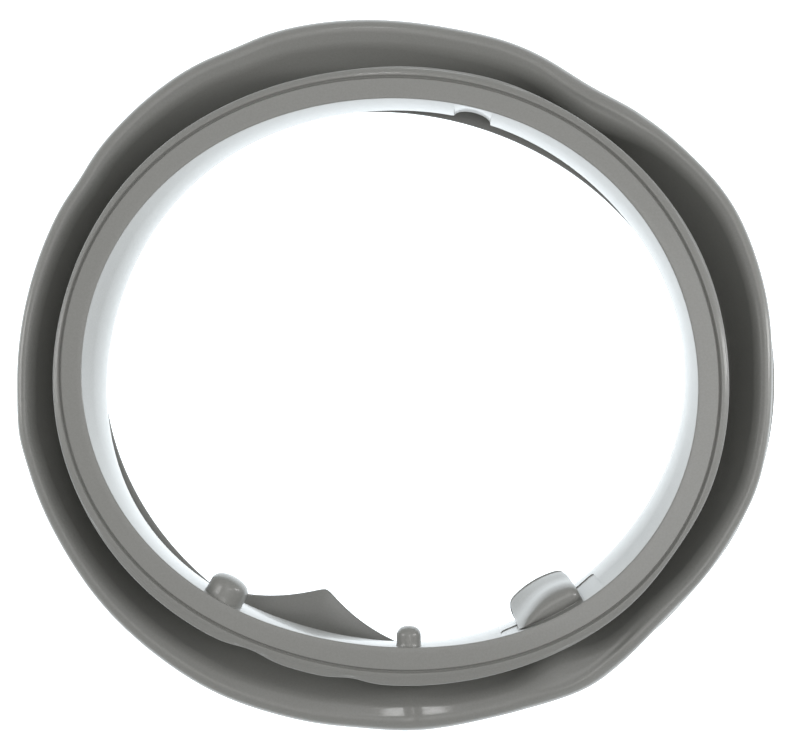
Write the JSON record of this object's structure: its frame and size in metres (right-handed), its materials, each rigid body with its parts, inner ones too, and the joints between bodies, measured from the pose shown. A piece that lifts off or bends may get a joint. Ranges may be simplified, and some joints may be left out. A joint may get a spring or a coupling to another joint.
{
  "type": "washing machine door seal",
  "caption": "Moulded rubber bellows ring for a front-loading washer: flat front lip with groove and skirt, deep outer roll, clamped tub rim, rear apron with a pointed tongue.",
  "frame": {"origin": "middle of the seal's outline, in the plane of the tub rim's rear face", "axes": "+Z from the tub rim to the door side, +X along the seal's wide way to the side of the block, +Y to the side of the drain notch"},
  "size_m": [0.4144, 0.3874, 0.092],
  "materials": {
    "grey_rubber": "satin moulded rubber, fine even grain"
  },
  "bodies": {
    "root": {"door_seal": "grey_rubber"}
  },
  "joints": []
}
